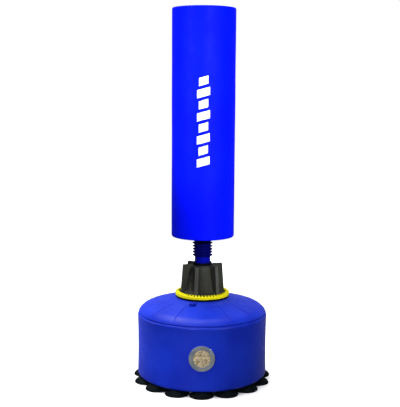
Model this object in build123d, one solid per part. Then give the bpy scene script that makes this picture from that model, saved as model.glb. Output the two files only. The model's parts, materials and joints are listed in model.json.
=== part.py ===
from build123d import *
import os
from math import atan2, cos, radians, sin, sqrt

# Free standing boxing bag: a padded bag on a sprung neck, clamped in a ballast tank.
# Millimetres, +Z up, origin on the floor under the bag's axis, front of the bag towards -Y.

# ---- driving dimensions -------------------------------------------------------------
BAG_R = 145.0            # outside radius of the cover
BAG_BOTTOM = 674.0       # lowest face of the cover
BAG_TOP = 1710.0         # highest face of the cover
BAG_EDGE = 8.0           # rounding of both ends of the bag
COVER_T = 1.2            # coated fabric
GAP = 0.3                # air between soft layers

TANK_R = 301.0           # largest radius, at the lip and near the floor
TANK_WAIST = 2.0         # how much the wall pulls in between them
TANK_BOTTOM = 24.0       # underside, held up by the cups
TANK_EDGE = 15.0         # rounding of the bottom edge
TANK_WALL = 5.0
NECK_LAND_R = 125.0      # flat land round the neck
NECK_LAND_Z = 389.5
DOME_BREAK_R = 257.0     # where the straight cone turns into the shoulder
DOME_BREAK_Z = 352.0
SHOULDER_ARC = 69.5
DOME_EDGE_R = 296.0      # the shoulder ends in a groove above the wall's lip
GROOVE_R = 293.5
LIP_Z = 308.0            # the lip rounds over from here
LIP_TOP_R = 296.5
LIP_TOP_Z = 317.0
CREASES = 14             # radial creases on the dome
CREASE_R = 1.9           # half round section
CREASE_START_R = 172.0
CREASE_END_R = 286.0

MAST_R = 36.5
MAST_WALL = 4.5
MAST_BOTTOM = 46.0
MAST_TOP = 586.0
RUN = 0.06               # radial clearance of a running fit

SPIGOT_R = 46.0          # threaded neck of the tank
SPIGOT_TOP = 505.0
THREAD_R = 49.0
THREAD_PITCH = 6.0
SOCKET_R = 41.0          # tube that lines the spigot and holds the mast

GASKET_R = 123.0
RING_R = 126.0
RING_BOTTOM = 398.0
RING_TOP = 416.0
RING_TEETH = 50

NUT_BOTTOM = 411.0
NUT_TOP = 542.0
NUT_HOLE_R = 44.5
NUT_FINS = 6
FIN_PHASE = -16.0        # degrees from the front to the first fin
FIN_T = 19.0
FIN_R_TOP = 93.0
FIN_R_BOTTOM = 103.0
FIN_DROP = 3.0           # how far the fins reach below the skirt

CUPS = 15
CUP_R = 55.3             # neighbouring lips almost touch
CUP_CIRCLE_R = 268.0

FILLER_R = 150.5         # distance of the filler from the axis
FILLER_ANGLE = -16.5     # degrees from the front
FILLER_CAP_R = 16.5
FILLER_TOP = 392.0
FILLER_HOLE_R = 12.2

BADGE_Z = 179.5
BADGE_R = 57.7
BADGE_INNER_R = 38.4

RIB_R = 44.4             # ribs of the neck sleeve
RIB_GROOVE_R = 38.0
RIB_PITCH = 14.0
RIB_FIRST_Z = 585.0
RIBS = 6

CORE_R = 55.0            # plastic tube inside the bag
CORE_WALL = 4.0
PLATE_R = 120.0
PLATE_T = 15.0
ZIP_TOP = 1650.0
ZIP_BOTTOM = 735.0


# ---- helpers ------------------------------------------------------------------------
def spin(points):
    """Solid of revolution about Z from (radius, height) points."""
    wire = Polyline(*[(r, 0, z) for r, z in points], close=True)
    return revolve(make_face(wire), axis=Axis.Z)


def tube(r_in, r_out, z0, z1):
    return spin([(r_in, z0), (r_out, z0), (r_out, z1), (r_in, z1)])


def disc(r, z0, z1):
    return Pos(0, 0, (z0 + z1) / 2) * Cylinder(r, z1 - z0)


def around(shape, angle):
    """Turn a shape made at the front (-Y) by an angle in degrees about Z."""
    return Rot(0, 0, angle) * shape


def at_front(r, z, angle=0.0):
    """Place on a circle of radius r: angle 0 is the front, positive towards +X."""
    return Pos(r * sin(radians(angle)), -r * cos(radians(angle)), z)


def radial_slab(thickness, outline):
    """Plate along the front radius from (distance from axis, height) points."""
    wire = Polyline(*[(0, -r, z) for r, z in outline], close=True)
    return extrude(make_face(wire), amount=thickness / 2, dir=(1, 0, 0), both=True)


def rounded_can(r, z0, z1, edge):
    can = disc(r, z0, z1)
    return fillet(can.edges().filter_by(GeomType.CIRCLE), edge)


def save(node, shape):
    os.makedirs("parts", exist_ok=True)
    solids = shape.solids()
    whole = solids[0] if len(solids) == 1 else Compound(children=list(solids))
    export_step(whole, f"parts/{node}.step")


# ---- tank ---------------------------------------------------------------------------
DOME_SLOPE = atan2(NECK_LAND_Z - DOME_BREAK_Z, DOME_BREAK_R - NECK_LAND_R)
LEAN = (sin(DOME_SLOPE), cos(DOME_SLOPE))
ARC_CENTRE_R = DOME_BREAK_R - SHOULDER_ARC * LEAN[0]
ARC_CENTRE_Z = DOME_BREAK_Z - SHOULDER_ARC * LEAN[1]


def arc_height(r, radius=SHOULDER_ARC, centre_r=ARC_CENTRE_R, centre_z=ARC_CENTRE_Z):
    """Height of the rounded shoulder at radius r."""
    return centre_z + sqrt(radius ** 2 - (r - centre_r) ** 2)


def turned(points_and_arcs):
    """Solid of revolution from (radius, height) points; a point inside a list bends its arc."""
    edges = []
    here = points_and_arcs[0]
    for step in points_and_arcs[1:] + [here]:
        if isinstance(step, list):
            bend = (step[0][0], 0, step[0][1])
            step = step[1]
            edges.append(ThreePointArc((here[0], 0, here[1]), bend, (step[0], 0, step[1])))
        else:
            edges.append(Line((here[0], 0, here[1]), (step[0], 0, step[1])))
        here = step
    return revolve(make_face(Wire(edges)), axis=Axis.Z)


def bottom_and_wall(inset, top_z):
    """The tank's floor, rounded bottom edge and waisted wall, up to a height."""
    low = TANK_BOTTOM + inset
    side = TANK_R - inset
    corner = TANK_EDGE * (1 - sqrt(0.5))
    return [
        (0, low), (side - TANK_EDGE, low),
        [(side - corner, low + corner), (side, low + TANK_EDGE)],
        [(side - TANK_WAIST, (TANK_BOTTOM + LIP_Z) / 2), (side, top_z)],
    ]


def tank_outside():
    lip_arc = ((TANK_R - LIP_TOP_R) ** 2 + (LIP_TOP_Z - LIP_Z) ** 2) / (2 * (TANK_R - LIP_TOP_R))
    half = atan2(LIP_TOP_Z - LIP_Z, LIP_TOP_R - TANK_R + lip_arc) / 2
    lip_middle = (TANK_R - lip_arc * (1 - cos(half)), LIP_Z + lip_arc * sin(half))
    dome_edge = (DOME_EDGE_R, arc_height(DOME_EDGE_R))
    bend_r = (DOME_EDGE_R + DOME_BREAK_R) / 2
    return turned(bottom_and_wall(0, LIP_Z) + [
        [lip_middle, (LIP_TOP_R, LIP_TOP_Z)],
        (GROOVE_R, LIP_TOP_Z + 0.8), (GROOVE_R, dome_edge[1] - 2.0), dome_edge,
        [(bend_r, arc_height(bend_r)), (DOME_BREAK_R, DOME_BREAK_Z)],
        (NECK_LAND_R, NECK_LAND_Z), (0, NECK_LAND_Z),
    ])


def tank_hollow():
    """The space inside: a plain shoulder that stays clear of the groove."""
    arc = SHOULDER_ARC - 11.5
    start = (DOME_BREAK_R - TANK_WALL * LEAN[0], DOME_BREAK_Z - TANK_WALL * LEAN[1])
    centre = (start[0] - arc * LEAN[0], start[1] - arc * LEAN[1])
    side = TANK_R - TANK_WALL
    side_top = arc_height(side, arc, *centre)
    bend_r = (side + start[0]) / 2
    land = NECK_LAND_Z - TANK_WALL
    land_r = NECK_LAND_R - TANK_WALL * LEAN[0] / (1 + LEAN[1])
    return turned(bottom_and_wall(TANK_WALL, side_top) + [
        [(bend_r, arc_height(bend_r, arc, *centre)), start], (land_r, land), (0, land),
    ])


def dome_height(r):
    """Height of the straight cone at radius r."""
    return NECK_LAND_Z - (r - NECK_LAND_R) * (NECK_LAND_Z - DOME_BREAK_Z) / (DOME_BREAK_R - NECK_LAND_R)


def crease_cutter():
    """Half round crease that runs down the cone and over the shoulder."""
    start = (0, -CREASE_START_R, dome_height(CREASE_START_R))
    corner = (0, -DOME_BREAK_R, DOME_BREAK_Z)
    bend_r = (DOME_BREAK_R + CREASE_END_R) / 2
    bend = (0, -bend_r, arc_height(bend_r))
    end = (0, -CREASE_END_R, arc_height(CREASE_END_R))
    path = Wire([Line(start, corner), ThreePointArc(corner, bend, end)])
    rod = sweep(Plane(origin=start, z_dir=path % 0) * Circle(CREASE_R), path=path)
    return rod + Pos(*start) * Sphere(CREASE_R) + Pos(*end) * Sphere(CREASE_R)


def base_tank():
    hollow = tank_hollow()
    tank = tank_outside() - hollow
    # threaded neck and the hole that the socket tube lines
    tank += tube(SOCKET_R, SPIGOT_R, NECK_LAND_Z - TANK_WALL, SPIGOT_TOP)
    crest = THREAD_PITCH / 2
    for k in range(int((SPIGOT_TOP - RING_TOP - 8) / THREAD_PITCH)):
        z = RING_TOP + 6 + k * THREAD_PITCH
        tank += spin([(SPIGOT_R - 1, z), (SPIGOT_R, z), (THREAD_R, z + 1), (THREAD_R, z + crest - 1),
                      (SPIGOT_R, z + crest), (SPIGOT_R - 1, z + crest)])
    tank -= disc(SOCKET_R, NECK_LAND_Z - TANK_WALL - 1, SPIGOT_TOP + 1)
    # locating ring on the tank's floor
    tank += tube(SOCKET_R, SOCKET_R + 5, TANK_BOTTOM + 1, TANK_BOTTOM + 26)
    # filler boss, its hole, and the flat pad behind the badge
    place = at_front(FILLER_R, 0, FILLER_ANGLE)
    boss_top = FILLER_TOP - 11
    tank += place * disc(FILLER_CAP_R + 3, dome_height(FILLER_R) - 12, boss_top) - hollow
    tank -= place * disc(FILLER_CAP_R + 1, boss_top, FILLER_TOP + 10)
    tank -= place * disc(FILLER_HOLE_R, dome_height(FILLER_R) - 30, boss_top + 1)
    pad = Pos(0, -TANK_R + 4, BADGE_Z) * Rot(90, 0, 0) * Cylinder(BADGE_R + 3, 8)
    pad = fillet(pad.edges().filter_by(GeomType.CIRCLE), 1.5)
    tank += pad - hollow
    # sockets underneath, one for each cup
    for k in range(CUPS):
        spot = at_front(CUP_CIRCLE_R, 0, k * 360 / CUPS)
        tank += spot * disc(12.5, TANK_BOTTOM + 2, TANK_BOTTOM + 17)
        tank -= spot * disc(8.2, TANK_BOTTOM - 1, TANK_BOTTOM + 12.5)
    crease = crease_cutter()
    for k in range(CREASES):
        tank -= around(crease, k * 360 / CREASES)
    return tank


# ---- parts round the neck of the tank -------------------------------------------------
def neck_gasket():
    ring = tube(SPIGOT_R + 6, GASKET_R, NECK_LAND_Z, RING_BOTTOM)
    top_edges = ring.edges().filter_by(GeomType.CIRCLE).group_by(Axis.Z)[-1]
    return fillet(top_edges.sort_by(SortBy.RADIUS)[-1], 2.0)


def ratchet_ring():
    """Lock ring: a shallow dish with a low rim, and a crown of teeth inside it."""
    floor = RING_BOTTOM + 6
    rim = RING_TOP - 3.5
    dish = spin([(SPIGOT_R + 3.6, RING_BOTTOM), (RING_R - 2, RING_BOTTOM), (RING_R, RING_BOTTOM + 2),
                 (RING_R, rim - 1.5), (RING_R - 1.5, rim), (RING_R - 5, rim),
                 (RING_R - 9, floor), (SPIGOT_R + 3.6, floor)])
    tooth = radial_slab(7.0, [(RING_R - 20.5, floor - 1), (RING_R - 4, floor - 1), (RING_R - 4, rim),
                              (RING_R - 6, RING_TOP), (RING_R - 17, RING_TOP), (RING_R - 20.5, rim)])
    for k in range(RING_TEETH):
        dish += around(tooth, k * 360 / RING_TEETH)
    return dish


def mast_socket():
    """Blind tube that lines the spigot, with a flange on the spigot's end."""
    floor = TANK_BOTTOM + TANK_WALL + 0.5
    bore = MAST_R + RUN
    return spin([(0, floor), (SOCKET_R, floor), (SOCKET_R, SPIGOT_TOP), (SPIGOT_R, SPIGOT_TOP),
                 (SPIGOT_R, SPIGOT_TOP + 3), (bore, SPIGOT_TOP + 3), (bore, MAST_BOTTOM - 1),
                 (0, MAST_BOTTOM - 1)])


COLLET_BOTTOM = SPIGOT_TOP + 3
COLLET_TOP = NUT_TOP + 9
COLLET_R = NUT_HOLE_R - 1.2
TAPER_TOP = NUT_TOP - 12


def collet():
    """Split tapered ring squeezed by the nut; its collar stands out of the nut's top."""
    bore = MAST_R + RUN
    ring = spin([(bore, COLLET_BOTTOM), (SPIGOT_R, COLLET_BOTTOM), (SPIGOT_R, COLLET_BOTTOM + 4),
                 (COLLET_R, TAPER_TOP), (COLLET_R, COLLET_TOP - 1.5), (COLLET_R - 1.5, COLLET_TOP),
                 (bore, COLLET_TOP)])
    slot = Pos(0, -MAST_R - 5, COLLET_BOTTOM) * Box(2.0, 20, 44)
    for k in range(8):
        ring -= around(slot, (k + 0.5) * 45)
    through = Pos(0, MAST_R + 5, (COLLET_BOTTOM + COLLET_TOP) / 2) * Box(2.4, 20, 60)
    return ring - through


def nut_washer():
    return tube(THREAD_R + 1.5, THREAD_R + 13, RING_BOTTOM + 6.3, NUT_BOTTOM - 0.3)


def lock_nut():
    """Hand nut: conical hub, flared skirt and six fins."""
    core = spin([
        (THREAD_R + 0.6, NUT_BOTTOM), (THREAD_R + 9, NUT_BOTTOM), (THREAD_R + 6, NUT_BOTTOM + 50),
        (THREAD_R + 13, NUT_BOTTOM + 47), (74, NUT_BOTTOM + 13), (82, NUT_BOTTOM + 6),
        (FIN_R_BOTTOM - 8, NUT_BOTTOM + 2.5), (FIN_R_BOTTOM - 8, NUT_BOTTOM), (FIN_R_BOTTOM - 3, NUT_BOTTOM),
        (FIN_R_BOTTOM - 3, NUT_BOTTOM + 4), (FIN_R_BOTTOM - 10, NUT_BOTTOM + 7), (85, NUT_BOTTOM + 11),
        (79, NUT_BOTTOM + 17), (60, NUT_TOP - 12), (56, NUT_TOP - 4), (54, NUT_TOP - 2),
        (NUT_HOLE_R + 1, NUT_TOP - 2), (NUT_HOLE_R, NUT_TOP - 3), (NUT_HOLE_R, TAPER_TOP),
        (SPIGOT_R + 1.2, COLLET_BOTTOM + 4), (SPIGOT_R + 1.2, COLLET_BOTTOM - 0.5),
        (THREAD_R + 0.6, COLLET_BOTTOM - 1.5),
    ])
    foot = NUT_BOTTOM - FIN_DROP
    fin = radial_slab(FIN_T, [(76, NUT_BOTTOM + 13.5), (FIN_R_BOTTOM - 9, NUT_BOTTOM + 4.8),
                              (FIN_R_BOTTOM - 9, foot), (FIN_R_BOTTOM, foot),
                              (FIN_R_TOP, NUT_TOP), (50, NUT_TOP), (50, NUT_TOP - 4),
                              (58, NUT_TOP - 12), (68, NUT_BOTTOM + 48)])
    ends = fin.edges().filter_by(lambda e: e.center().Y < -FIN_R_TOP + 1 and abs(e.center().X) > 1)
    fin = fillet(ends, 2.0)
    for k in range(NUT_FINS):
        core += around(fin, FIN_PHASE + k * 360 / NUT_FINS)
    return core


# ---- cups, filler and badge -------------------------------------------------------------
def suction_cup(index):
    """Domed rubber cup with a flat lip, a hollow underside and a stud pushed into the tank."""
    foot = TANK_BOTTOM
    outside = Spline((CUP_R, 1.6), (CUP_R - 3, 8.2), (CUP_R - 10, 14.2), (CUP_R - 18, 18.4), (29, foot))
    inside = [(29, foot), (8, foot), (8, foot + 12), (0, foot + 12), (0, 16), (14, 15.2), (28, 12),
              (40, 6.5), (CUP_R - 5.5, 0), (CUP_R, 0), (CUP_R, 1.6)]
    rim = [Line(a, b) for a, b in zip(inside, inside[1:])]
    body = revolve(Rot(90, 0, 0) * make_face(Wire([outside] + rim)), axis=Axis.Z)
    return at_front(CUP_CIRCLE_R, 0, index * 360 / CUPS) * body


def filler_cap():
    """Screw cap: knurled flange, hollow skirt and a grip bar."""
    low = FILLER_TOP - 8
    cap = disc(FILLER_CAP_R, low, FILLER_TOP - 2)
    cap = fillet(cap.edges().filter_by(GeomType.CIRCLE).group_by(Axis.Z)[-1], 1.5)
    for k in range(24):
        cap -= Rot(0, 0, k * 15) * Pos(FILLER_CAP_R + 0.6, 0, low + 3) * Cylinder(1.2, 8)
    bar = Pos(0, 0, FILLER_TOP - 1.5) * Box(24, 5, 3)
    cap += fillet(bar.edges().filter_by(Axis.Z), 2.0)
    cap += tube(FILLER_HOLE_R - 2.0, FILLER_HOLE_R - 0.6, low - 16, low)
    return at_front(FILLER_R, 0, FILLER_ANGLE) * cap


def filler_seal():
    low = FILLER_TOP - 8
    ring = tube(FILLER_HOLE_R - 0.3, FILLER_CAP_R - 1, low - 2.7, low - 0.2)
    return at_front(FILLER_R, 0, FILLER_ANGLE) * ring


def badge_rim():
    face = TANK_R
    rim = spin([(BADGE_INNER_R + 0.4, 0), (BADGE_R, 0), (BADGE_R, 2.4), (BADGE_R - 2, 3.6),
                (BADGE_INNER_R + 2, 3.6), (BADGE_INNER_R + 0.4, 2.6)])
    return Pos(0, -face, BADGE_Z) * Rot(90, 0, 0) * rim


def badge_disc():
    """Inner medallion: raised rim, a ring of studs and a plain star of eight rays."""
    plate = spin([(0, 0), (BADGE_INNER_R, 0), (BADGE_INNER_R, 2.6), (BADGE_INNER_R - 1, 3.2),
                  (BADGE_INNER_R - 3, 3.2), (BADGE_INNER_R - 4, 1.8), (0, 1.8)])
    for k in range(8):
        reach = 13 if k % 2 else 20
        ray = Pos(0, 0, 1.5) * extrude(Polygon((0, 3.4), (0, -3.4), (reach, 0), align=None), amount=1.8)
        plate += Rot(0, 0, k * 45 + 90) * ray
    plate += Pos(0, 0, 2.4) * Cylinder(6, 2.6)
    for k in range(20):
        plate += Rot(0, 0, k * 18) * Pos(27.5, 0, 2.2) * Cylinder(2.1, 1.8)
    return Pos(0, -TANK_R, BADGE_Z) * Rot(90, 0, 0) * plate


# ---- mast and sprung neck ---------------------------------------------------------------
SEAT_LOW = MAST_TOP + 6
SEAT_HIGH = BAG_BOTTOM - 14
SPRING_R = 31.0
WIRE_R = 3.6


def mast_tube():
    return tube(MAST_R - MAST_WALL, MAST_R, MAST_BOTTOM, MAST_TOP)


def mast_foot():
    return disc(MAST_R - MAST_WALL, MAST_BOTTOM, MAST_BOTTOM + 20)


def spring_seat_lower():
    """Plug in the top of the mast with a boss that centres the spring."""
    inner = MAST_R - MAST_WALL
    return spin([(0, MAST_TOP - 30), (inner, MAST_TOP - 30), (inner, MAST_TOP), (MAST_R, MAST_TOP),
                 (MAST_R, SEAT_LOW), (SPRING_R - WIRE_R - 1, SEAT_LOW),
                 (SPRING_R - WIRE_R - 2, SEAT_LOW + 10), (0, SEAT_LOW + 10)])


SEAT_PLATE_R = 62.0
PLATE_BOTTOM = BAG_BOTTOM + COVER_T + GAP
BOLT_CIRCLE_R = 50.0


def spring_seat_upper():
    """Boss over the spring and a wide plate bolted under the bag."""
    seat = spin([(0, SEAT_HIGH - 10), (SPRING_R - WIRE_R - 2, SEAT_HIGH - 10),
                 (SPRING_R - WIRE_R - 1, SEAT_HIGH), (MAST_R, SEAT_HIGH), (MAST_R, SEAT_HIGH + 8),
                 (SEAT_PLATE_R, SEAT_HIGH + 8), (SEAT_PLATE_R, PLATE_BOTTOM), (0, PLATE_BOTTOM)])
    for k in range(4):
        seat -= at_front(BOLT_CIRCLE_R, SEAT_HIGH + 10, 45 + k * 90) * Cylinder(4.2, 30)
    return seat


def seat_bolts():
    """Four cap screws from below, through the seat into the bag's bottom plate."""
    low = SEAT_HIGH + 8
    bolt = Pos(0, 0, low - 3) * Cylinder(6.5, 6) + Pos(0, 0, low + 10) * Cylinder(4.0, 20)
    bolt -= Pos(0, 0, low - 5) * extrude(RegularPolygon(3.4, 6), amount=3)
    bolt = fillet(bolt.edges().filter_by(GeomType.CIRCLE).group_by(Axis.Z)[0], 0.8)
    return [at_front(BOLT_CIRCLE_R, 0, 45 + k * 90) * bolt for k in range(4)]


def neck_spring():
    """Round wire coil between the two seats."""
    low, high = SEAT_LOW + WIRE_R + 0.2, SEAT_HIGH - WIRE_R - 0.2
    path = Pos(0, 0, low) * Helix(pitch=(high - low) / 5, height=high - low, radius=SPRING_R)
    section = Plane(origin=path @ 0, z_dir=path % 0) * Circle(WIRE_R)
    return sweep(section, path=path)


def neck_bellows():
    """Ribbed sleeve: cuff on the mast, rounded ribs, and a flange under the upper seat."""
    wall_r = RIB_GROOVE_R - 2.8
    low = RIB_FIRST_Z - 5.5
    points = [(MAST_R + 0.05, low), (RIB_GROOVE_R + 1.5, low), (RIB_GROOVE_R + 1.5, low + 1.5)]
    for k in range(RIBS):
        z = RIB_FIRST_Z + k * RIB_PITCH
        points += [(RIB_GROOVE_R, z - 3.8), (RIB_R - 2, z - 3.2), (RIB_R - 0.5, z - 2), (RIB_R, z),
                   (RIB_R - 0.5, z + 2), (RIB_R - 2, z + 3.2), (RIB_GROOVE_R, z + 3.8)]
    top = SEAT_HIGH + 8 - 0.1
    points += [(RIB_GROOVE_R, top), (wall_r + 1.4, top), (wall_r + 1.4, SEAT_HIGH - 0.1),
               (wall_r, SEAT_HIGH - 0.1), (wall_r, SEAT_LOW + 0.3), (MAST_R + 0.05, SEAT_LOW + 0.3)]
    return spin(points)


# ---- bag ------------------------------------------------------------------------------
FOAM_SPLIT_R = 100.0
CORE_TOP = BAG_TOP - 60
NECK_HOLE_R = SEAT_PLATE_R + 2


SCREW_LEVELS = (PLATE_BOTTOM + 32, CORE_TOP - 16)


def screw_spots():
    for z in SCREW_LEVELS:
        for k in range(3):
            yield Rot(0, 0, 60 + k * 120) * Pos(0, -CORE_R, z) * Rot(90, 0, 0)


def screw_holes():
    return [spot * Cylinder(2.1, 40) for spot in screw_spots()]


def core_bottom_plate():
    plate = disc(PLATE_R, PLATE_BOTTOM, PLATE_BOTTOM + PLATE_T)
    for k in range(4):
        plate -= at_front(BOLT_CIRCLE_R, PLATE_BOTTOM + 5, 45 + k * 90) * Cylinder(4.1, 30)
    collar = tube(CORE_R - CORE_WALL - 8, CORE_R - CORE_WALL, PLATE_BOTTOM + PLATE_T, PLATE_BOTTOM + 45)
    return plate + collar - screw_holes()


def core_tube():
    return tube(CORE_R - CORE_WALL, CORE_R, PLATE_BOTTOM + PLATE_T, CORE_TOP) - screw_holes()


def core_top_plug():
    plug = disc(PLATE_R, CORE_TOP, CORE_TOP + 10)
    plug += tube(CORE_R - CORE_WALL - 8, CORE_R - CORE_WALL, CORE_TOP - 30, CORE_TOP)
    return plug - screw_holes()


def plate_screws():
    """Pan head screws that hold the end plates' collars in the core tube."""
    screw = Pos(0, 0, -5) * Cylinder(2.0, 12) + Pos(0, 0, 1.3) * Cylinder(4.0, 2.4)
    return [spot * screw for spot in screw_spots()]


def foam_inner():
    foam = tube(CORE_R + GAP, FOAM_SPLIT_R, PLATE_BOTTOM + PLATE_T + GAP, CORE_TOP - GAP)
    for z in SCREW_LEVELS:
        foam -= tube(CORE_R, CORE_R + 6, z - 6, z + 6)
    return foam


def inside_cover(gap):
    """The space inside the cover, less a gap."""
    shrink = COVER_T + gap
    return rounded_can(BAG_R - shrink, BAG_BOTTOM + shrink, BAG_TOP - shrink, BAG_EDGE - shrink)


def foam_outer():
    foam = inside_cover(GAP)
    foam -= disc(FOAM_SPLIT_R + GAP, BAG_BOTTOM - 1, BAG_TOP + 1)
    foam -= disc(PLATE_R + GAP, BAG_BOTTOM - 1, PLATE_BOTTOM + PLATE_T + GAP)
    return foam - disc(PLATE_R + GAP, CORE_TOP - GAP, BAG_TOP + 1)


def top_pad():
    return disc(PLATE_R, CORE_TOP + 10 + GAP, BAG_TOP - COVER_T - GAP)


PANEL_R = BAG_R - BAG_EDGE


def cover_shell():
    skin = rounded_can(BAG_R, BAG_BOTTOM, BAG_TOP, BAG_EDGE)
    return skin - inside_cover(0)


def cover_side():
    """Side of the cover, rounded in at both ends as far as the end panels' seams."""
    low = disc(PANEL_R, BAG_BOTTOM - 1, BAG_BOTTOM + 30)
    high = disc(PANEL_R, BAG_TOP - 30, BAG_TOP + 1)
    return cover_shell() - low - high


def cover_top():
    return disc(PANEL_R - 0.05, BAG_TOP - COVER_T, BAG_TOP)


def cover_bottom():
    return tube(NECK_HOLE_R, PANEL_R - 0.05, BAG_BOTTOM, BAG_BOTTOM + COVER_T)


# ---- zip at the back ----------------------------------------------------------------------
ZIP_FACE = BAG_R + 0.8
ZIP_REST_Z = ZIP_TOP - 14


def zip_strip(half_width, r_in, r_out, z0, z1, offset=0.0):
    """Thin strip that follows the cover's curve at the back."""
    band = tube(r_in, r_out, z0, z1)
    return band & Pos(offset, BAG_R, (z0 + z1) / 2) * Box(2 * half_width, 60, z1 - z0)


def zipper_tape():
    return zip_strip(14, BAG_R + 0.02, ZIP_FACE, ZIP_BOTTOM, ZIP_TOP)


def zipper_chain():
    """Coil teeth as one narrow raised strip, with a stop at each end."""
    chain = zip_strip(2.4, ZIP_FACE, ZIP_FACE + 1.4, ZIP_BOTTOM + 4, ZIP_TOP - 4)
    chain += zip_strip(3.4, ZIP_FACE, ZIP_FACE + 2.2, ZIP_BOTTOM + 4, ZIP_BOTTOM + 8)
    return chain + zip_strip(3.4, ZIP_FACE, ZIP_FACE + 2.2, ZIP_TOP - 6, ZIP_TOP - 2)


PIN_Y = ZIP_FACE + 7.0
PIN_R = 0.9


def zip_slider():
    """Slider body that straddles the chain, with two ears and the pull's pin."""
    y0, y1 = ZIP_FACE + 0.3, ZIP_FACE + 4.6
    body = Pos(0, (y0 + y1) / 2, ZIP_REST_Z) * Box(9, y1 - y0, 14)
    body = fillet(body.edges().filter_by(Axis.Y), 2.5)
    body -= Pos(0, ZIP_FACE, ZIP_REST_Z) * Box(5.6, 4.0, 20)
    for side in (-1, 1):
        body += Pos(side * 2.6, y1 + 1.4, ZIP_REST_Z + 2) * Box(1.2, 4.4, 5)
    return body + Pos(0, PIN_Y, ZIP_REST_Z + 2) * Rot(0, 90, 0) * Cylinder(PIN_R, 6.0)


def zip_pull():
    """Flat tab that hangs from the slider's pin."""
    thick = 1.8
    pin_z = ZIP_REST_Z + 2
    eye = Pos(0, PIN_Y, pin_z) * Rot(0, 90, 0) * Cylinder(2.2, 3.2)
    neck = Pos(0, PIN_Y, pin_z - 7) * Box(3.2, thick, 12)
    tab = Pos(0, PIN_Y, pin_z - 24) * Box(9, thick, 24)
    tab = fillet(tab.edges().filter_by(Axis.Y), 3.0)
    slot = Pos(0, PIN_Y, pin_z - 28) * Box(4, 4, 8)
    slot = fillet(slot.edges().filter_by(Axis.Y), 1.5)
    pull = eye + neck + tab - slot
    return pull - Pos(0, PIN_Y, pin_z) * Rot(0, 90, 0) * Cylinder(PIN_R + 0.08, 8)


# ---- write ----------------------------------------------------------------------------------
SINGLE = [
    base_tank, neck_gasket, ratchet_ring, mast_socket, collet, nut_washer, lock_nut,
    filler_cap, filler_seal, badge_rim, badge_disc,
    mast_tube, mast_foot, spring_seat_lower, spring_seat_upper, neck_spring, neck_bellows,
    core_bottom_plate, core_tube, core_top_plug, foam_inner, foam_outer, top_pad,
    cover_side, cover_top, cover_bottom, zipper_tape, zipper_chain, zip_slider, zip_pull,
]
for make in SINGLE:
    save(make.__name__, make())
for make in (seat_bolts, plate_screws):
    save(make.__name__, Compound(children=make()))
for cup in range(CUPS):
    save(f"suction_cup_{cup + 1:02d}", suction_cup(cup))
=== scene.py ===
import json
import math
import random

import bmesh
import bpy
from mathutils import Matrix, Vector


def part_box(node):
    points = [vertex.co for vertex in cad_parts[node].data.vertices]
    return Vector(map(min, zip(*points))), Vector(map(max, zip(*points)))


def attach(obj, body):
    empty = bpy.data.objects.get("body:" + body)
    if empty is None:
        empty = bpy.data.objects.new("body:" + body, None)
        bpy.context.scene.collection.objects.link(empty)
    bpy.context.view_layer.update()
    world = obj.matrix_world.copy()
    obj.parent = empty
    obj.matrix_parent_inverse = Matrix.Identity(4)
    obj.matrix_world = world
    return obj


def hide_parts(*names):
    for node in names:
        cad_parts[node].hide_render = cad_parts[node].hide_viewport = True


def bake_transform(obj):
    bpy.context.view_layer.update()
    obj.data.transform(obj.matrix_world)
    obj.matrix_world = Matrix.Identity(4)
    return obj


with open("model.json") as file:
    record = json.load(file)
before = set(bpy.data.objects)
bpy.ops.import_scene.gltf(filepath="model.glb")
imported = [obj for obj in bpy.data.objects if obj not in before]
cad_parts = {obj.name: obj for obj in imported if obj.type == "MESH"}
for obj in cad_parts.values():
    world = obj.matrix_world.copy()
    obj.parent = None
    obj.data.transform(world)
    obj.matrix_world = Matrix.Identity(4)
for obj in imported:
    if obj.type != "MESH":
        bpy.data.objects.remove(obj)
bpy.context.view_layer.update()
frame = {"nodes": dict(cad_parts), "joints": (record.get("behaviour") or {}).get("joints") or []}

# A free standing boxing bag. Metres, +Z up, the front of the bag towards -Y.
# Most CAD nodes are kept and only get their materials here. New pieces take the place of the
# cover, the neck's sleeve and spring, and the zip's tape and teeth. The printed bars and the
# stitches are added.

MM = 0.001
TAU = 2 * math.pi
NODES = frame["nodes"]
JOINTS = {joint["name"]: joint for joint in frame["joints"]}


def add_object(name, data):
    """Puts new data, a mesh, a camera or a lamp, in the scene as an object."""
    added = bpy.data.objects.new(name, data)
    bpy.context.scene.collection.objects.link(added)
    return added


# ---- camera ---------------------------------------------------------------------------
CAMERA_DISTANCE = 3.974
CAMERA_HEIGHT = 1.360
CAMERA_PITCH = math.radians(7.67)
CAMERA_ROLL = math.radians(0.39)
CAMERA_LENS = 76.8
CAMERA_SENSOR = 36
CAMERA_SHIFT = -0.0071


def make_camera():
    """A camera in front of the bag at a standing person's height, looking a little down."""
    data = bpy.data.cameras.new("camera")
    data.lens = CAMERA_LENS
    data.sensor_width = CAMERA_SENSOR
    data.shift_x = CAMERA_SHIFT
    camera = add_object("camera", data)
    pitch = Matrix.Rotation(math.pi / 2 - CAMERA_PITCH, 4, "X")
    roll = Matrix.Rotation(CAMERA_ROLL, 4, "Z")
    camera.matrix_world = Matrix.Translation((0, -CAMERA_DISTANCE, CAMERA_HEIGHT)) @ pitch @ roll
    bpy.context.scene.camera = camera


# ---- mesh helpers ---------------------------------------------------------------------
def finish_mesh(name, bm, smooth_angle=40):
    """Turns bm into a piece with its normals outward, sharp where faces meet at more than the angle."""
    bmesh.ops.recalc_face_normals(bm, faces=bm.faces)
    mesh = bpy.data.meshes.new(name)
    bm.to_mesh(mesh)
    bm.free()
    mesh.shade_smooth()
    mesh.set_sharp_from_angle(angle=math.radians(smooth_angle))
    return add_object(name, mesh)


def around(angle, r, z):
    """A point at a radius and height, its angle counted from the front towards +X."""
    return Vector((r * math.sin(angle), -r * math.cos(angle), z))


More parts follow.
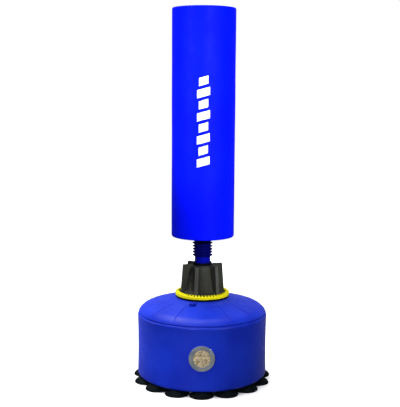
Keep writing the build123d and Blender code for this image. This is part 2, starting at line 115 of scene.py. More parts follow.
def spaced(a, b, count):
    """count + 1 values from a to b."""
    return [a + (b - a) * k / count for k in range(count + 1)]


def corner(cx, cz, radius, a0, a1, count):
    """Points of an arc about (cx, cz), angles in degrees."""
    return [(cx + radius * math.cos(math.radians(a)), cz + radius * math.sin(math.radians(a)))
            for a in spaced(a0, a1, count)]


def lathe(name, outline, segments, smooth_angle, shape=None, loop=False):
    """Surface of revolution about Z from (radius, height) points; radius 0 makes a pole.
    shape(angle, r, z) may move a point in its own radial plane. loop joins last to first."""
    bm = bmesh.new()
    rings = []
    for r, z in outline:
        if r == 0:
            rings.append([bm.verts.new((0, 0, z))])
            continue
        ring = []
        for k in range(segments):
            angle = TAU * k / segments
            ring.append(bm.verts.new(around(angle, *(shape(angle, r, z) if shape else (r, z)))))
        rings.append(ring)
    pairs = list(zip(rings, rings[1:]))
    if loop:
        pairs.append((rings[-1], rings[0]))
    for low, high in pairs:
        for k in range(segments):
            n = (k + 1) % segments
            if len(low) == 1:
                bm.faces.new((low[0], high[k], high[n]))
            elif len(high) == 1:
                bm.faces.new((low[k], high[0], low[n]))
            else:
                bm.faces.new((low[k], high[k], high[n], low[n]))
    return finish_mesh(name, bm, smooth_angle)


def tube_along(bm, points, radius, sides):
    """Adds a round tube with closed ends along points to bm."""
    last = len(points) - 1
    side = (points[1] - points[0]).normalized().orthogonal().normalized()
    rings = []
    for k, point in enumerate(points):
        ahead = (points[min(k + 1, last)] - points[max(k - 1, 0)]).normalized()
        side = (side - ahead * side.dot(ahead)).normalized()
        up = ahead.cross(side)
        rings.append([bm.verts.new(point + radius * (math.cos(TAU * s / sides) * side
                                                     + math.sin(TAU * s / sides) * up))
                      for s in range(sides)])
    for low, high in zip(rings, rings[1:]):
        for s in range(sides):
            n = (s + 1) % sides
            bm.faces.new((low[s], low[n], high[n], high[s]))
    bm.faces.new(rings[0][::-1])
    bm.faces.new(rings[-1])


def thin_sheet(bm, xs, zs, front_at, back_at):
    """Adds a closed sheet to bm. front_at(x, z) and back_at(x, z) place its two sides."""
    front = [[bm.verts.new(front_at(x, z)) for x in xs] for z in zs]
    back = [[bm.verts.new(back_at(x, z)) for x in xs] for z in zs]
    across, up = len(xs) - 1, len(zs) - 1
    for j in range(up):
        for i in range(across):
            bm.faces.new((front[j][i], front[j][i + 1], front[j + 1][i + 1], front[j + 1][i]))
            bm.faces.new((back[j][i], back[j + 1][i], back[j + 1][i + 1], back[j][i + 1]))
    rim = [(0, i) for i in range(across)] + [(j, across) for j in range(up)]
    rim += [(up, i) for i in range(across, 0, -1)] + [(j, 0) for j in range(up, 0, -1)]
    for (j, i), (next_j, next_i) in zip(rim, rim[1:] + rim[:1]):
        bm.faces.new((front[j][i], back[j][i], back[next_j][next_i], front[next_j][next_i]))


def add_box(bm, centre, size):
    """Adds a box to bm, its sides along the axes."""
    matrix = Matrix.Translation(centre) @ Matrix.Diagonal((*size, 1))
    bmesh.ops.create_cube(bm, size=1, matrix=matrix)


# ---- materials ------------------------------------------------------------------------
# Each surface drifts between two shades, in linear RGB.
COVER_BLUE = ((0.0002, 0.0035, 0.90), (0.0006, 0.007, 1.0))
TANK_BLUE = ((0.005, 0.023, 0.47), (0.008, 0.035, 0.58))
CAP_BLUE = ((0.002, 0.016, 0.42), (0.003, 0.024, 0.52))
MAST_BLUE = ((0.0004, 0.002, 0.26), (0.0008, 0.003, 0.34))
SLEEVE_NAVY = ((0.0002, 0.0007, 0.085), (0.0004, 0.0012, 0.13))
TAPE_NAVY = ((0.004, 0.008, 0.16), (0.006, 0.014, 0.26))
THREAD_BLUE = ((0.004, 0.012, 0.40), (0.010, 0.030, 0.62))
CUP_BLACK = ((0.0015, 0.003, 0.004), (0.004, 0.007, 0.008))
COLLET_BLACK = ((0.001, 0.0015, 0.004), (0.002, 0.003, 0.007))
NUT_BLACK = ((0.028, 0.030, 0.024), (0.045, 0.047, 0.037))
# Painted light: the lighter black on the nut's fins' outer faces, where light falls.
NUT_PAINTED_LIGHT = ((0.066, 0.068, 0.058), (0.100, 0.103, 0.090))
RING_YELLOW = ((0.92, 0.83, 0.006), (0.98, 0.89, 0.010))
# Painted shade: the dark yellow between the ring's teeth, where shade falls.
RING_PAINTED_SHADE = ((0.060, 0.048, 0.004), (0.110, 0.090, 0.006))
BADGE_GREY = ((0.20, 0.23, 0.27), (0.29, 0.32, 0.36))
BADGE_BRONZE = ((0.30, 0.22, 0.11), (0.86, 0.74, 0.50))
STEEL = ((0.42, 0.42, 0.41), (0.58, 0.58, 0.57))
NICKEL = ((0.50, 0.50, 0.52), (0.66, 0.66, 0.68))
NYLON = ((0.62, 0.62, 0.60), (0.72, 0.72, 0.70))
FOAM = ((0.62, 0.62, 0.58), (0.78, 0.78, 0.74))
WOOD = ((0.42, 0.27, 0.14), (0.62, 0.44, 0.25))
PRINT_WHITE = ((0.84, 0.86, 0.90), (0.93, 0.94, 0.96))
FLOOR_WHITE = ((0.92, 0.92, 0.92), (0.94, 0.94, 0.94))

# A Mix node's colour sockets, by number because its other sockets have the same names.
MIX_FIRST, MIX_SECOND, MIX_RESULT = 6, 7, 2


def map_range(tree, value, span, result, kind="SMOOTHSTEP"):
    """Maps a value from span (start, end) onto result (low, high)."""
    node = tree.nodes.new("ShaderNodeMapRange")
    node.interpolation_type = kind
    for socket, number in zip(("From Min", "From Max", "To Min", "To Max"), (*span, *result)):
        node.inputs[socket].default_value = number
    tree.links.new(value, node.inputs["Value"])
    return node.outputs["Result"]


class Shader:
    """One node material: a Principled shader with procedural colour, roughness and bump."""

    def __init__(self, name, roughness, metallic=0.0, specular=0.5):
        self.material = bpy.data.materials.new(name)
        self.material.use_nodes = True
        self.tree = self.material.node_tree
        self.nodes = self.tree.nodes
        self.links = self.tree.links
        self.bsdf = self.nodes["Principled BSDF"]
        self.bsdf.inputs["Metallic"].default_value = metallic
        self.bsdf.inputs["Roughness"].default_value = roughness
        self.bsdf.inputs["Specular IOR Level"].default_value = specular
        self.place = self.nodes.new("ShaderNodeTexCoord").outputs["Object"]
        self.normal = None

    def stretched(self, scale):
        """The place on the piece, scaled along each axis; a larger scale shortens the pattern."""
        mapping = self.nodes.new("ShaderNodeMapping")
        mapping.inputs["Scale"].default_value = scale
        self.links.new(self.place, mapping.inputs["Vector"])
        return mapping.outputs["Vector"]

    def noise(self, scale, detail, stretch_by=None):
        """Cloudy noise over the piece; a larger scale gives smaller patches."""
        node = self.nodes.new("ShaderNodeTexNoise")
        node.inputs["Scale"].default_value = scale
        node.inputs["Detail"].default_value = detail
        self.links.new(self.stretched(stretch_by) if stretch_by else self.place, node.inputs["Vector"])
        return node.outputs["Fac"]

    def cells(self, scale):
        node = self.nodes.new("ShaderNodeTexVoronoi")
        node.inputs["Scale"].default_value = scale
        self.links.new(self.place, node.inputs["Vector"])
        return node.outputs["Distance"]

    def bands(self, scale, direction):
        node = self.nodes.new("ShaderNodeTexWave")
        node.bands_direction = direction
        node.inputs["Scale"].default_value = scale
        self.links.new(self.place, node.inputs["Vector"])
        return node.outputs["Fac"]

    def ramp(self, value, low, high):
        """Spreads noise, which stays mostly between 0.3 and 0.7, smoothly onto low to high."""
        return map_range(self.tree, value, (0.3, 0.7), (low, high))

    def colour(self, factor, shades):
        """Base colour: the first shade where factor is 0, the second where it is 1."""
        node = self.nodes.new("ShaderNodeMix")
        node.data_type = "RGBA"
        self.links.new(factor, node.inputs["Factor"])
        node.inputs[MIX_FIRST].default_value = (*shades[0], 1)
        node.inputs[MIX_SECOND].default_value = (*shades[1], 1)
        self.links.new(node.outputs[MIX_RESULT], self.bsdf.inputs["Base Color"])

    def mottle(self, value, shades):
        """Base colour that drifts between two shades with a noise or cell value."""
        self.colour(self.ramp(value, 0, 1), shades)

    def rough(self, value, low, high):
        self.links.new(self.ramp(value, low, high), self.bsdf.inputs["Roughness"])

    def bump(self, height, strength, distance):
        """Adds a bump on top of those before it; distance is its depth in metres."""
        node = self.nodes.new("ShaderNodeBump")
        node.inputs["Strength"].default_value = strength
        node.inputs["Distance"].default_value = distance
        self.links.new(height, node.inputs["Height"])
        if self.normal:
            self.links.new(self.normal, node.inputs["Normal"])
        self.normal = node.outputs["Normal"]
        self.links.new(self.normal, self.bsdf.inputs["Normal"])


def coated_fabric():
    """Smooth polyurethane cover: fine pebble grain, faint stretch marks and scuffing."""
    s = Shader("cover_coated_fabric", 0.56, specular=0.03)
    s.mottle(s.noise(3.5, 4), COVER_BLUE)
    s.rough(s.noise(22, 5), 0.50, 0.64)
    s.bump(s.noise(9, 3, stretch_by=(1, 1, 0.35)), 0.35, 0.0012)
    s.bump(s.cells(620), 0.22, 0.00018)
    return s.material


def moulded_plastic(name, shades, roughness, grain=900, specular=0.12):
    """Moulded plastic: faint flow marks, matt grain and uneven gloss."""
    s = Shader(name, roughness, specular=specular)
    s.mottle(s.noise(6, 4), shades)
    s.rough(s.noise(35, 4), roughness - 0.06, roughness + 0.07)
    s.bump(s.noise(16, 2), 0.35, 0.0008)
    s.bump(s.noise(grain, 2), 0.18, 0.00012)
    return s.material


def moulded_rubber(name, shades, roughness):
    """Rubber with fine mould texture and a dusting in patches."""
    s = Shader(name, roughness, specular=0.04)
    s.mottle(s.noise(40, 5), shades)
    s.rough(s.noise(60, 3), roughness - 0.08, roughness + 0.1)
    s.bump(s.noise(1100, 3), 0.3, 0.0001)
    return s.material


def metal(name, shades, roughness, metallic=1.0, patina=25):
    """Plated or cast metal with a cloudy patina; patina is the noise scale of its colour."""
    s = Shader(name, roughness, metallic=metallic)
    s.mottle(s.noise(patina, 4), shades)
    s.rough(s.noise(90, 4), roughness - 0.08, roughness + 0.12)
    s.bump(s.noise(400, 3), 0.15, 0.00006)
    return s.material


def soft_foam():
    """Open foam with small cells."""
    s = Shader("foam", 0.9, specular=0.2)
    s.mottle(s.cells(300), FOAM)
    s.bump(s.cells(300), 0.5, 0.0006)
    return s.material


def board():
    """Wooden board, its grain along X and Z."""
    s = Shader("board", 0.6, specular=0.3)
    s.mottle(s.noise(14, 6, stretch_by=(1, 9, 1)), WOOD)
    s.bump(s.noise(60, 5, stretch_by=(1, 9, 1)), 0.3, 0.0003)
    return s.material


def woven_tape():
    """Polyester zip tape: a fine weave from two crossed wave textures."""
    s = Shader("zip_tape", 0.85, specular=0.05)
    s.mottle(s.noise(300, 2), TAPE_NAVY)
    for direction in ("X", "Z"):
        s.bump(s.bands(330, direction), 0.4, 0.0002)
    return s.material


def thread():
    """Sewing thread with a fine twist."""
    s = Shader("stitching_thread", 0.8, specular=0.03)
    s.mottle(s.noise(500, 2), THREAD_BLUE)
    s.bump(s.noise(2500, 2, stretch_by=(1, 1, 3)), 0.4, 0.0001)
    return s.material


def print_ink():
    """White ink, through which the cover's grain shows faintly."""
    s = Shader("white_print", 0.42, specular=0.3)
    s.mottle(s.noise(70, 5), PRINT_WHITE)
    s.bump(s.cells(620), 0.15, 0.00012)
    return s.material


def dress(piece, material):
    """Makes material the only one of a piece."""
    piece.data.materials.clear()
    piece.data.materials.append(material)


def dress_nodes(names, material):
    """Fills every material slot of the named CAD nodes."""
    for name in names:
        for slot in NODES[name].material_slots:
            slot.material = material


def dress_faces(piece, material, chosen):
    """Gives a second material to the faces that chosen(centre, normal) picks, in world space."""
    piece.data.materials.append(material)
    turn = piece.matrix_world.to_3x3()
    for face in piece.data.polygons:
        if chosen(piece.matrix_world @ face.center, turn @ face.normal):
            face.material_index = 1


# ---- stage ----------------------------------------------------------------------------
FLOOR_R = 3.5
FLOOR_GLOW = 0.30
GLOW_FROM, GLOW_FULL = 0.27, 0.34
ROOM_FRONT, ROOM_BACK, ROOM_TOP, ROOM_BELOW = 0.05, 0.30, 0.30, 0.34

SUN_PLACE = (-0.6, 0.5, 3.0)
SUN_STRENGTH = 4.6
SUN_SPREAD = math.radians(50)
SPOT_RADIUS = 0.12
# Name, place, aim, power in watts and the cone's full angle in degrees. The key and the fill
# stand just below the bag's top, so that they leave no glare on it.
SPOTS = (
    ("key", (1.2, -2.8, 1.68), (0.03, 0, 1.26), 520, 37),
    ("fill", (-2.2, -2.3, 1.60), (0, 0, 1.38), 320, 25),
    ("low", (-0.9, -3.1, 1.0), (0.0, 0, 0.01), 235, 14),
    ("left", (-2.4, 0.1, 0.7), (0, 0, 0.17), 150, 15),
    ("right", (1.9, -2.5, 1.5), (0.08, 0, 0.27), 140, 13),
    ("side", (1.0, -3.0, 1.5), (0, -0.05, 0.51), 90, 8),
)


def make_stage():
    """Floor, backdrop, one soft sun overhead and the spot lamps."""
    make_floor()
    make_world()
    bpy.context.scene.view_settings.view_transform = "Standard"
    add_lamp("overhead", "SUN", SUN_PLACE, (0, 0, 0), energy=SUN_STRENGTH, angle=SUN_SPREAD)
    for name, place, aim, power, cone in SPOTS:
        add_lamp(name, "SPOT", place, aim, energy=power, shadow_soft_size=SPOT_RADIUS,
                 spot_size=math.radians(cone), spot_blend=1.0)


def make_floor():
    """A white disc, glowing faintly outside the tank's footprint, that lights nothing itself."""
    bm = bmesh.new()
    bmesh.ops.create_circle(bm, cap_ends=True, radius=FLOOR_R, segments=96)
    floor = finish_mesh("studio_floor", bm)
    s = Shader("studio_floor", 0.75, specular=0.1)
    s.colour(s.noise(2, 3), FLOOR_WHITE)
    radius = s.nodes.new("ShaderNodeVectorMath")
    radius.operation = "LENGTH"
    s.links.new(s.place, radius.inputs[0])
    glow = map_range(s.tree, radius.outputs["Value"], (GLOW_FROM, GLOW_FULL), (0.0, FLOOR_GLOW), "LINEAR")
    s.bsdf.inputs["Emission Color"].default_value = (1, 1, 1, 1)
    s.links.new(glow, s.bsdf.inputs["Emission Strength"])
    dress(floor, s.material)
    floor.visible_diffuse = False
    floor.visible_glossy = False


def make_world():
    """A white backdrop to look at. What lights the object is a dim room, darkest at the front."""
    world = bpy.data.worlds.new("studio")
    world.use_nodes = True
    tree = world.node_tree
    background = tree.nodes["Background"]
    split = tree.nodes.new("ShaderNodeSeparateXYZ")
    tree.links.new(tree.nodes.new("ShaderNodeTexCoord").outputs["Generated"], split.inputs["Vector"])
    strength = tree.nodes.new("ShaderNodeLightPath").outputs["Is Camera Ray"]
    for axis, span, result in (("Y", (-0.1, 0.75), (ROOM_FRONT, ROOM_BACK)),
                               ("Z", (0.25, 0.9), (0.0, ROOM_TOP)),
                               ("Z", (-0.1, -0.7), (0.0, ROOM_BELOW))):
        most = tree.nodes.new("ShaderNodeMath")
        most.operation = "MAXIMUM"
        tree.links.new(strength, most.inputs[0])
        tree.links.new(map_range(tree, split.outputs[axis], span, result), most.inputs[1])
        strength = most.outputs["Value"]
    background.inputs["Color"].default_value = (1, 1, 1, 1)
    tree.links.new(strength, background.inputs["Strength"])
    bpy.context.scene.world = world


def add_lamp(name, kind, place, aim, **settings):
    """Adds a lamp that stands at place and points at aim."""
    data = bpy.data.lights.new(name, kind)
    for setting, value in settings.items():
        setattr(data, setting, value)
    lamp = add_object(name, data)
    lamp.location = place
    lamp.rotation_euler = (Vector(aim) - Vector(place)).to_track_quat("-Z", "Y").to_euler()


# ---- bag cover ------------------------------------------------------------------------
COVER_LOW, COVER_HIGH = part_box("cover_side")
COVER_R = COVER_HIGH.x
BAG_Z0, BAG_Z1 = COVER_LOW.z, COVER_HIGH.z
PANEL_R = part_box("cover_top")[1].x
EDGE = COVER_R - PANEL_R
SKIN = 1.2 * MM
NECK_HOLE = 64 * MM
ZIP_ANGLE = math.pi

# The side lies a little inside the CAD's and stands in and out in slow waves, which fade at
# the ends.
SIDE_INSET = 0.5 * MM
END_FADE = 0.12
# The seams of the end panels sink in a narrow groove, with gathers over a wider band.
GROOVE_WIDTH, GROOVE_DEPTH = 2.2 * MM, 0.5 * MM
GATHER_WIDTH, GATHER_DEPTH, GATHER_RIPPLE = 11 * MM, 0.2 * MM, 0.35

DRAW = random.Random(7)
# Waves round the bag, rate of change up it, phase, lean and size.
WAVES = [(DRAW.choice((2, 3, 4, 5, 7)), DRAW.uniform(4, 26), DRAW.uniform(0, TAU),
          DRAW.uniform(0, TAU), DRAW.uniform(0.10, 0.28) * MM) for _ in range(9)]
# Ripples round the seam, phase and size.
RIPPLES = [(DRAW.choice((17, 23, 29, 37)), DRAW.uniform(0, TAU), DRAW.uniform(0.10, 0.22) * MM)
           for _ in range(5)]


def side_swell(angle, z):
    """How far the cover's side stands out from the CAD's side, SIDE_INSET inside it on average."""
    swell = 0.0
    for turns, rate, phase, lean, size in WAVES:
        swell += size * math.sin(turns * angle + lean * z + phase) * math.sin(rate * z + lean)
    near_end = min(z - BAG_Z0, BAG_Z1 - z) / END_FADE
    return swell * min(1.0, max(0.0, near_end)) - SIDE_INSET


def cover_shape(angle, r, z):
    """Pulls the cover in at the end panels' seams and moves its side by the swell."""
    top = z > (BAG_Z0 + BAG_Z1) / 2
    inward = -1 if top else 1
    away = math.hypot(r - PANEL_R, z - (BAG_Z1 if top else BAG_Z0))
    groove = math.exp(-(away / GROOVE_WIDTH) ** 2)
    gather = math.exp(-(away / GATHER_WIDTH) ** 2)
    ripple = sum(size * math.sin(turns * angle + phase) for turns, phase, size in RIPPLES)
    z += inward * (GROOVE_DEPTH * groove + gather * (GATHER_RIPPLE * ripple + GATHER_DEPTH))
    if r > PANEL_R + 2 * MM:
        r += side_swell(angle, z) * min(1.0, (r - PANEL_R) / EDGE)
    return r, z


def cover_outline():
    """Outside from the middle of the top to the neck's hole, then back along the inside."""
    outside = [(r, BAG_Z1) for r in spaced(0, PANEL_R, 26)]
    outside += corner(PANEL_R, BAG_Z1 - EDGE, EDGE, 90, 0, 18)[1:]
    outside += [(COVER_R, z) for z in spaced(BAG_Z1 - EDGE, BAG_Z0 + EDGE, 230)][1:]
    outside += corner(PANEL_R, BAG_Z0 + EDGE, EDGE, 0, -90, 18)[1:]
    outside += [(r, BAG_Z0) for r in spaced(PANEL_R, NECK_HOLE, 18)][1:]
    inner_r, inner_edge = COVER_R - SKIN, EDGE - SKIN
    inside = [(NECK_HOLE, BAG_Z0 + SKIN), (PANEL_R, BAG_Z0 + SKIN)]
    inside += corner(PANEL_R, BAG_Z0 + EDGE, inner_edge, -90, 0, 8)[1:]
    inside += [(inner_r, z) for z in spaced(BAG_Z0 + EDGE, BAG_Z1 - EDGE, 40)][1:]
    inside += corner(PANEL_R, BAG_Z1 - EDGE, inner_edge, 0, 90, 8)[1:]
    inside += [(0, BAG_Z1 - SKIN)]
    return outside + inside


def make_cover(material):
    """One padded shell in place of the CAD cover's three panels."""
    cover = lathe("bag_cover", cover_outline(), segments=220, smooth_angle=70, shape=cover_shape)
    dress(cover, material)
    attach(cover, "bag")
    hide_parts("cover_side", "cover_top", "cover_bottom")


def on_cover(angle, z, lift):
    """A point on the cover's side at an angle from the front, lifted off it."""
    return around(angle, COVER_R + side_swell(angle, z) + lift, z)


# ---- printed bars ---------------------------------------------------------------------
MARK_Z0, MARK_Z1 = 1.012, 1.418
MARK_BARS = 8
MARK_GAP = 0.30
WIDE_BAR = 57 * MM
NARROW_BAR = 0.72 * WIDE_BAR
MARK_SLANT = 0.28
INK_TOP, INK_BACK = 0.28 * MM, 0.05 * MM


def on_mark(x, z, lift):
    """A point of the slanted print, lifted off the cover."""
    return on_cover(x / COVER_R, z + MARK_SLANT * x, lift)


def make_mark(material):
    """Generic print: a column of slanted bars, wider and narrower in turn."""
    bm = bmesh.new()
    pitch = (MARK_Z1 - MARK_Z0) / MARK_BARS
    for bar in range(MARK_BARS):
        half = (NARROW_BAR if bar % 2 else WIDE_BAR) / 2
        low = MARK_Z0 + bar * pitch
        thin_sheet(bm, spaced(-half, half, 14), spaced(low, low + pitch * (1 - MARK_GAP), 6),
                   lambda x, z: on_mark(x, z, INK_TOP), lambda x, z: on_mark(x, z, INK_BACK))
    mark = finish_mesh("printed_bars", bm)
    dress(mark, material)
    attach(mark, "bag")


# ---- neck sleeve ----------------------------------------------------------------------
# The sleeve and the spring are each in two halves, split halfway between the two tilt joints.
LOW_PIVOT = JOINTS["neck_tilt_side"]["pos_m"][2]
HIGH_PIVOT = JOINTS["neck_tilt_back"]["pos_m"][2]
NECK_MIDDLE = (LOW_PIVOT + HIGH_PIVOT) / 2
SLEEVE_LOW, SLEEVE_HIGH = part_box("neck_bellows")
RIB_R = SLEEVE_HIGH.x + 2.8 * MM  # the ribs stand further out than in the CAD
GROOVE_R = SLEEVE_HIGH.x - 6.4 * MM
CUFF_R = GROOVE_R + 1.5 * MM
RIB_PITCH = 14.0 * MM
RIB_HALF = 4.4 * MM
RIB_ROUNDNESS = 1.6
RIB_FIRST = SLEEVE_LOW.z + 5.5 * MM
ROW_HEIGHT = 0.45 * MM
SLEEVE_INNER_R = GROOVE_R - 2.8 * MM
CUFF_INNER_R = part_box("mast_tube")[1].x + 0.1 * MM
CUFF_TOP = SLEEVE_LOW.z + 12.5 * MM
SEAT_ROOM = 1.4 * MM


def rib_profile(z):
    """Radius of the ribbed sleeve at a height: a plain cuff, then rounded ribs and grooves."""
    nearest = max(0, round((z - RIB_FIRST) / RIB_PITCH))
    away = abs(z - RIB_FIRST - nearest * RIB_PITCH) / RIB_HALF
    if away < 1:
        return GROOVE_R + (RIB_R - GROOVE_R) * (1 - away ** RIB_ROUNDNESS)
    return CUFF_R if z < RIB_FIRST else GROOVE_R


def sleeve_half(name, z0, z1, inside):
    """The ribbed outside between two heights, closed by the points of the inside from the top."""
    outside = [(rib_profile(z), z) for z in spaced(z0, z1, int((z1 - z0) / ROW_HEIGHT))]
    return lathe(name, outside + inside, segments=96, smooth_angle=50, loop=True)


def lower_inside():
    """Plain down to the cuff, which grips the mast."""
    inside = [(SLEEVE_INNER_R, z) for z in spaced(NECK_MIDDLE, CUFF_TOP, 20)]
    return inside + [(CUFF_INNER_R, z) for z in spaced(CUFF_TOP, SLEEVE_LOW.z, 6)]


def upper_inside():
    """A little wider round the upper seat than it is round the spring."""
    seat_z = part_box("neck_spring")[1].z - 1 * MM
    return [(SLEEVE_INNER_R + (SEAT_ROOM if z > seat_z else 0), z)
            for z in spaced(SLEEVE_HIGH.z, NECK_MIDDLE, 24)]


def make_sleeve(rubber):
    """Two halves, split halfway between the side tilt and the back tilt."""
    low = sleeve_half("neck_sleeve_lower", SLEEVE_LOW.z, NECK_MIDDLE, lower_inside())
    high = sleeve_half("neck_sleeve_upper", NECK_MIDDLE, SLEEVE_HIGH.z, upper_inside())
    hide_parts("neck_bellows")
    for half in (low, high):
        dress(half, rubber)
    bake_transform(low)
    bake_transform(high)


# ---- neck spring ----------------------------------------------------------------------
WIRE_R = 3.6 * MM
COIL_TURNS = 5
SPRING_LOW, SPRING_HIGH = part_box("neck_spring")
COIL_R = SPRING_HIGH.x - WIRE_R
COIL_Z0, COIL_Z1 = SPRING_LOW.z + WIRE_R, SPRING_HIGH.z - WIRE_R


def coil_half(name, z0, z1):
    """The part of the coil between two heights."""
    path = []
    for z in spaced(z0, z1, 90):
        angle = TAU * COIL_TURNS * (z - COIL_Z0) / (COIL_Z1 - COIL_Z0)
        path.append(Vector((COIL_R * math.cos(angle), COIL_R * math.sin(angle), z)))
    bm = bmesh.new()
    tube_along(bm, path, WIRE_R, sides=12)
    return finish_mesh(name, bm)


def make_spring(steel):
    """The coil inside the sleeve, in two halves split where the sleeve's are."""
    low = coil_half("neck_spring_lower", COIL_Z0, NECK_MIDDLE)
    high = coil_half("neck_spring_upper", NECK_MIDDLE, COIL_Z1)
    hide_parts("neck_spring")
    for half in (low, high):
        dress(half, steel)
    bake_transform(low)
    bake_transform(high)


# ---- zip ------------------------------------------------------------------------------
TAPE_LOW, TAPE_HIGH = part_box("zipper_tape")
TAPE_THICK = 0.55 * MM
HEM_WIDTH, HEM_RISE = 2 * MM, 0.35 * MM
DIP_HALF, DIP_DEPTH = 1.0 * MM, 0.25 * MM
CHAIN_LOW, CHAIN_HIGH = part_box("zipper_chain")
TOOTH_PITCH = 2.6 * MM
TOOTH_SIZE = (3.2 * MM, 1.3 * MM, 0.95 * MM)
TOOTH_OFFSET = 1.0 * MM
TOOTH_LIFT = 1.25 * MM
TOOTH_BEVEL = 0.22 * MM
TEETH_INSET = 4 * MM
STOP_SIZE = (7 * MM, 2.0 * MM, 3.4 * MM)
STOP_INSET = 2 * MM
STOP_LIFT = 1.3 * MM


def on_zip(x, z, lift):
    """A point at the back of the cover, x measured across the zip from its middle."""
    return on_cover(ZIP_ANGLE - x / COVER_R, z, lift)


def tape_face(x, z):
    """The tape's outer face: a raised hem at each edge and a dip under the teeth."""
    hem = HEM_RISE if abs(x) > TAPE_HIGH.x - HEM_WIDTH else 0.0
    dip = DIP_DEPTH if abs(x) < DIP_HALF else 0.0
    return on_zip(x, z, TAPE_THICK + hem - dip)


def make_tape(material):
    """The zip's cloth tape, lying on the back of the cover."""
    bm = bmesh.new()
    thin_sheet(bm, spaced(-TAPE_HIGH.x, TAPE_HIGH.x, 20), spaced(TAPE_LOW.z, TAPE_HIGH.z, 160),
               tape_face, lambda x, z: on_zip(x, z, 0.0))
    tape = finish_mesh("zip_tape", bm)
    dress(tape, material)
    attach(tape, "bag")
    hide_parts("zipper_tape")


def make_teeth(material):
    """Two rows of teeth that mesh in the middle, and a stop at each end."""
    bm = bmesh.new()
    for k in range(int((CHAIN_HIGH.z - CHAIN_LOW.z - 2 * TEETH_INSET) / TOOTH_PITCH)):
        for side, step in ((-1, 0.0), (1, 0.5)):
            z = CHAIN_LOW.z + TEETH_INSET + (k + step) * TOOTH_PITCH
            add_box(bm, on_zip(side * TOOTH_OFFSET, z, TOOTH_LIFT), TOOTH_SIZE)
    bmesh.ops.bevel(bm, geom=list(bm.edges), offset=TOOTH_BEVEL, segments=1, affect="EDGES")
    for z in (CHAIN_LOW.z + STOP_INSET, CHAIN_HIGH.z - STOP_INSET):
        add_box(bm, on_zip(0, z, STOP_LIFT), STOP_SIZE)
    teeth = finish_mesh("zip_teeth", bm, smooth_angle=30)
    dress(teeth, material)
    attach(teeth, "bag")
    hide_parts("zipper_chain")


# ---- stitches -------------------------------------------------------------------------
STITCH_LENGTH = 3.6 * MM
STITCH_PITCH = 5.4 * MM
THREAD_R = 0.42 * MM
THREAD_LIFT = 0.15 * MM
SEAM_TO_STITCHES = 4.5 * MM
ZIP_TO_STITCHES = 17 * MM


def stitch_row(bm, point_at, length):
    """Short lengths of thread along a path given by point_at(distance)."""
    count = int(length / STITCH_PITCH)
    for k in range(count):
        start = k * length / count
        line = [point_at(start + STITCH_LENGTH * t) for t in (0, 0.25, 0.5, 0.75, 1)]
        tube_along(bm, line, THREAD_R, sides=5)


def seam_path(r, edge_z, outward):
    """The way round an end panel's seam at radius r, by distance."""
    drop = EDGE - math.sqrt(EDGE ** 2 - (r - PANEL_R) ** 2) if r > PANEL_R else 0.0

    def point_at(distance):
        angle = distance / r
        shaped_r, z = cover_shape(angle, r, edge_z - outward * drop)
        return around(angle, shaped_r, z + outward * THREAD_LIFT)

    return point_at


def zip_side_path(side, start_z):
    """The way up beside the zip, by distance; side is -1 or 1."""
    angle = ZIP_ANGLE + side * ZIP_TO_STITCHES / COVER_R

    def point_at(distance):
        return on_cover(angle, start_z + distance, THREAD_LIFT)

    return point_at


def make_stitches(material):
    """Two rows round each end panel's seam, and a row up each side of the zip."""
    bm = bmesh.new()
    for edge_z, outward in ((BAG_Z1, 1), (BAG_Z0, -1)):
        for r in (PANEL_R - SEAM_TO_STITCHES, PANEL_R + SEAM_TO_STITCHES):
            stitch_row(bm, seam_path(r, edge_z, outward), TAU * r)
    for side in (-1, 1):
        stitch_row(bm, zip_side_path(side, TAPE_LOW.z), TAPE_HIGH.z - TAPE_LOW.z)
    stitches = finish_mesh("cover_stitches", bm)
    dress(stitches, material)
    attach(stitches, "bag")


# ---- carried-over CAD nodes -----------------------------------------------------------
# The painted shade, a darker colour between the ring's teeth, lies between two heights of the ring and
# further in than its teeth's tips.
PAINTED_SHADE_BELOW_TOP, PAINTED_SHADE_ABOVE_FOOT, PAINTED_SHADE_INSET = 3.6 * MM, 3 * MM, 4.5 * MM
# The nut's hub narrows from its foot to its top. What stands out from it is a fin.
HUB_R, HUB_TAPER = 81 * MM, 19 * MM
FIN_STANDS_OUT = 5 * MM
SKIRT_TOP = 12 * MM
FACES_OUT = 0.9


def dress_ring():
    """Yellow all over, with painted shade, a darker yellow, deep between the teeth."""
    low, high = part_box("ratchet_ring")

    def between_teeth(centre, normal):
        deep = low.z + PAINTED_SHADE_ABOVE_FOOT < centre.z < high.z - PAINTED_SHADE_BELOW_TOP
        return deep and math.hypot(centre.x, centre.y) < high.x - PAINTED_SHADE_INSET

    ring = NODES["ratchet_ring"]
    dress(ring, moulded_plastic("ring_yellow", RING_YELLOW, 0.42))
    # The dark colour between the teeth is painted shade.
    dress_faces(ring, moulded_plastic("ring_painted_shade", RING_PAINTED_SHADE, 0.7), between_teeth)


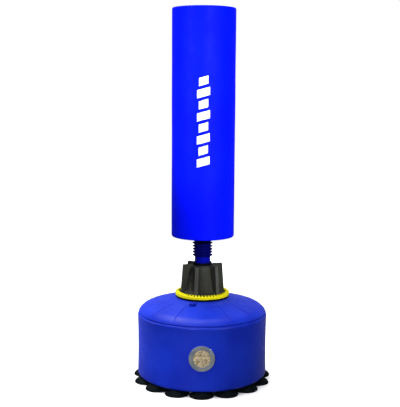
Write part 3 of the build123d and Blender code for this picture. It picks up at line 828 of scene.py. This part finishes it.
def dress_nut(plain):
    """Black, with painted light, a lighter black, on the fins' outer faces."""
    low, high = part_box("lock_nut")

    def outer_fin(centre, normal):
        outward = Vector((centre.x, centre.y, 0))
        hub = HUB_R - HUB_TAPER * (centre.z - low.z) / (high.z - low.z)
        out = normal.dot(outward.normalized()) > FACES_OUT
        return out and outward.length > hub + FIN_STANDS_OUT and centre.z > low.z + SKIRT_TOP

    nut = NODES["lock_nut"]
    dress(nut, plain)
    # The lighter colour on the fins' outer faces is painted light.
    dress_faces(nut, moulded_plastic("nut_painted_light", NUT_PAINTED_LIGHT, 0.42, grain=1400), outer_fin)


def dress_cad(rubber, steel, nickel):
    """Materials for the CAD nodes that are kept."""
    dress_nodes(["base_tank"], moulded_plastic("tank_polyethylene", TANK_BLUE, 0.40, specular=0.16))
    dress_ring()
    nut = moulded_plastic("nut_black", NUT_BLACK, 0.50, grain=1400, specular=0.07)
    dress_nut(nut)
    dress_nodes(["mast_socket", "mast_foot"], nut)
    dress_nodes(["collet"], moulded_plastic("collet_black", COLLET_BLACK, 0.55, specular=0.05))
    dress_nodes(["mast_tube"], moulded_plastic("mast_blue", MAST_BLUE, 0.40, specular=0.04))
    dress_nodes(["filler_cap"], moulded_plastic("filler_blue", CAP_BLUE, 0.4))
    dress_nodes(["nut_washer", "core_tube"], moulded_plastic("nylon", NYLON, 0.5))
    dress_nodes(["neck_gasket", "filler_seal"], rubber)
    dress_nodes([name for name in NODES if name.startswith("suction_cup")], rubber)
    dress_nodes(["badge_rim"], metal("badge_grey", BADGE_GREY, 0.42, metallic=0.5))
    dress_nodes(["badge_disc"], metal("badge_bronze", BADGE_BRONZE, 0.42, metallic=0.5, patina=150))
    dress_nodes(["spring_seat_lower", "spring_seat_upper", "seat_bolts", "plate_screws"], steel)
    dress_nodes(["foam_inner", "foam_outer", "top_pad"], soft_foam())
    dress_nodes(["core_bottom_plate", "core_top_plug"], board())
    dress_nodes(["zip_slider", "zip_pull"], nickel)


def main():
    make_camera()
    make_stage()
    rubber = moulded_rubber("cup_rubber", CUP_BLACK, 0.62)
    navy = moulded_rubber("sleeve_rubber", SLEEVE_NAVY, 0.5)
    steel = metal("plated_steel", STEEL, 0.35)
    nickel = metal("zip_nickel", NICKEL, 0.25)
    dress_cad(rubber, steel, nickel)
    make_cover(coated_fabric())
    make_mark(print_ink())
    make_stitches(thread())
    make_sleeve(navy)
    make_spring(steel)
    make_tape(woven_tape())
    make_teeth(nickel)


main()
